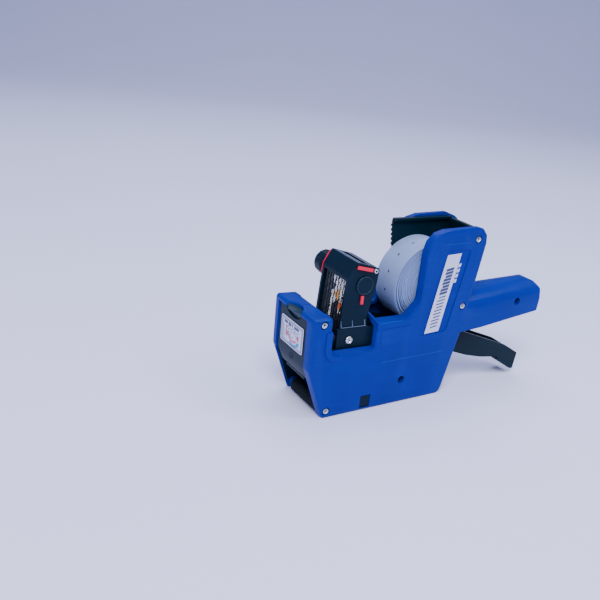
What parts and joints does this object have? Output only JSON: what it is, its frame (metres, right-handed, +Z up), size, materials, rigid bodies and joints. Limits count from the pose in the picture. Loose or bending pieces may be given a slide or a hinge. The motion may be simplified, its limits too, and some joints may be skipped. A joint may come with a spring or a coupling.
{
  "type": "price labeling gun",
  "caption": "Hand-held price labeling gun: two half shells, squeeze lever with banded print head, ink roller, label roll and hinged covers.",
  "frame": {"origin": "middle of the gun's footprint, on the flat bottom it stands on", "axes": "+X from the nose to the end of the handle, +Y to the gun's right-hand side (the selector knob's side), +Z up"},
  "size_m": [0.1994, 0.0516, 0.1221],
  "materials": {
    "blue_casing": "satin moulded ABS",
    "black_plastic": "satin moulded ABS",
    "red_plastic": "glossy moulded plastic",
    "steel": "zinc-plated steel",
    "label_film": "printed self-adhesive film",
    "label_paper": "matt white label paper",
    "core_board": "kraft board tube",
    "applicator_rubber": "ribbed rubber",
    "type_band_rubber": "moulded rubber",
    "ink_felt": "ink-soaked felt",
    "clear_window": "clear polished plastic"
  },
  "bodies": {
    "casing": {"left_shell": "blue_casing", "right_shell": "blue_casing", "screw_nose_top": "steel", "screw_nose_bottom": "steel", "screw_tower_top": "steel", "screw_tower_middle": "steel", "screw_handle": "steel", "screw_body": "steel", "pivot_shaft": "steel", "return_spring": "steel", "roll_hub_left": "black_plastic", "roll_hub_right": "black_plastic", "platen": "black_plastic", "exit_plate": "black_plastic", "label_chute": "black_plastic", "feed_axle": "steel", "guide_axle": "steel", "ink_arm_pin": "steel", "side_label_left": "label_film", "side_label_right": "label_film", "front_cover_pin": "steel", "bottom_cover_pin": "steel"},
    "front_cover": {"front_cover": "black_plastic", "cover_sticker": "label_film"},
    "bottom_cover": {"bottom_cover": "black_plastic"},
    "latch_left": {"latch_left": "black_plastic"},
    "latch_right": {"latch_right": "black_plastic"},
    "roll_lid": {"roll_lid": "black_plastic"},
    "label_roll": {"label_roll": "label_paper", "roll_core": "core_board"},
    "feed_wheel": {"feed_wheel": "black_plastic", "ratchet_wheel": "black_plastic"},
    "guide_roller": {"guide_roller": "black_plastic"},
    "applicator_roller": {"applicator_roller": "applicator_rubber"},
    "ink_arm": {"ink_arm": "black_plastic"},
    "ink_roller": {"ink_roller": "ink_felt"},
    "lever": {"head_yoke": "black_plastic", "trigger": "black_plastic", "lever_pin": "steel", "head_case": "black_plastic", "head_window": "clear_window", "yoke_screw_left": "steel", "yoke_screw_right": "steel", "type_band_1": "type_band_rubber", "type_band_2": "type_band_rubber", "type_band_3": "type_band_rubber", "type_band_4": "type_band_rubber", "type_band_5": "type_band_rubber", "type_band_6": "type_band_rubber", "type_band_7": "type_band_rubber", "type_band_8": "type_band_rubber", "band_nose": "black_plastic", "indicator_plate": "red_plastic", "indicator_bar": "red_plastic", "indicator_pin": "steel", "side_cap": "black_plastic"},
    "release_tab": {"release_tab": "red_plastic"},
    "band_drum": {"band_drum": "black_plastic"},
    "knob_slide": {"knob_shaft": "steel"},
    "selector_knob": {"selector_knob": "black_plastic"}
  },
  "joints": [
    {"name": "trigger_squeeze", "type": "hinge", "parent": "casing", "child": "lever", "pos_m": [0.00024, 0, 0.04], "axis": [0, -1, 0], "range_deg": [0, 12], "stiffness_Nm_per_rad": 0.9, "springref_deg": -14.32},
    {"name": "ink_arm_swing", "type": "hinge", "parent": "casing", "child": "ink_arm", "pos_m": [-0.09276, 0, 0.033], "axis": [0, -1, 0], "range_deg": [0, 46]},
    {"name": "ink_roller_spin", "type": "hinge", "parent": "ink_arm", "child": "ink_roller", "pos_m": [-0.07716, 0, 0.0468], "axis": [0, 1, 0], "continuous": true},
    {"name": "front_cover_open", "type": "hinge", "parent": "casing", "child": "front_cover", "pos_m": [-0.09236, 0, 0.0245], "axis": [0, -1, 0], "range_deg": [0, 95]},
    {"name": "bottom_cover_open", "type": "hinge", "parent": "casing", "child": "bottom_cover", "pos_m": [0.00074, 0, 0.0032], "axis": [0, -1, 0], "range_deg": [0, 70]},
    {"name": "latch_left_press", "type": "slide", "parent": "casing", "child": "latch_left", "axis": [0, 1, 0], "range_m": [0, 0.0015], "stiffness_N_per_m": 300, "springref_m": -0.001},
    {"name": "latch_right_press", "type": "slide", "parent": "casing", "child": "latch_right", "axis": [0, -1, 0], "range_m": [0, 0.0015], "stiffness_N_per_m": 300, "springref_m": -0.001},
    {"name": "roll_lid_open", "type": "hinge", "parent": "casing", "child": "roll_lid", "pos_m": [0.02584, 0, 0.1109], "axis": [0, 1, 0], "range_deg": [0, 95]},
    {"name": "label_roll_spin", "type": "hinge", "parent": "casing", "child": "label_roll", "pos_m": [-0.00456, 0, 0.0794], "axis": [0, 1, 0], "continuous": true},
    {"name": "feed_wheel_spin", "type": "hinge", "parent": "casing", "child": "feed_wheel", "pos_m": [-0.03976, 0, 0.021], "axis": [0, 1, 0], "continuous": true},
    {"name": "guide_roller_spin", "type": "hinge", "parent": "casing", "child": "guide_roller", "pos_m": [-0.01576, 0, 0.01], "axis": [0, 1, 0], "continuous": true},
    {"name": "applicator_roller_spin", "type": "hinge", "parent": "casing", "child": "applicator_roller", "pos_m": [-0.08296, 0, 0.005], "axis": [0, 1, 0], "continuous": true},
    {"name": "knob_pull", "type": "slide", "parent": "lever", "child": "knob_slide", "axis": [0, 1, 0], "range_m": [0, 0.012]},
    {"name": "knob_turn", "type": "hinge", "parent": "knob_slide", "child": "selector_knob", "pos_m": [-0.06596, 0, 0.0888], "axis": [0, 1, 0], "continuous": true},
    {"name": "band_drum_turn", "type": "hinge", "parent": "lever", "child": "band_drum", "pos_m": [-0.06596, 0, 0.0888], "axis": [0, 1, 0], "continuous": true},
    {"name": "release_tab_slide", "type": "slide", "parent": "lever", "child": "release_tab", "axis": [0, 0, -1], "range_m": [0, 0.003]}
  ],
  "couplings": [
    {"joint": "ink_arm_swing", "follows": "trigger_squeeze", "ratio": 3.75},
    {"joint": "band_drum_turn", "follows": "knob_turn", "ratio": 1}
  ]
}
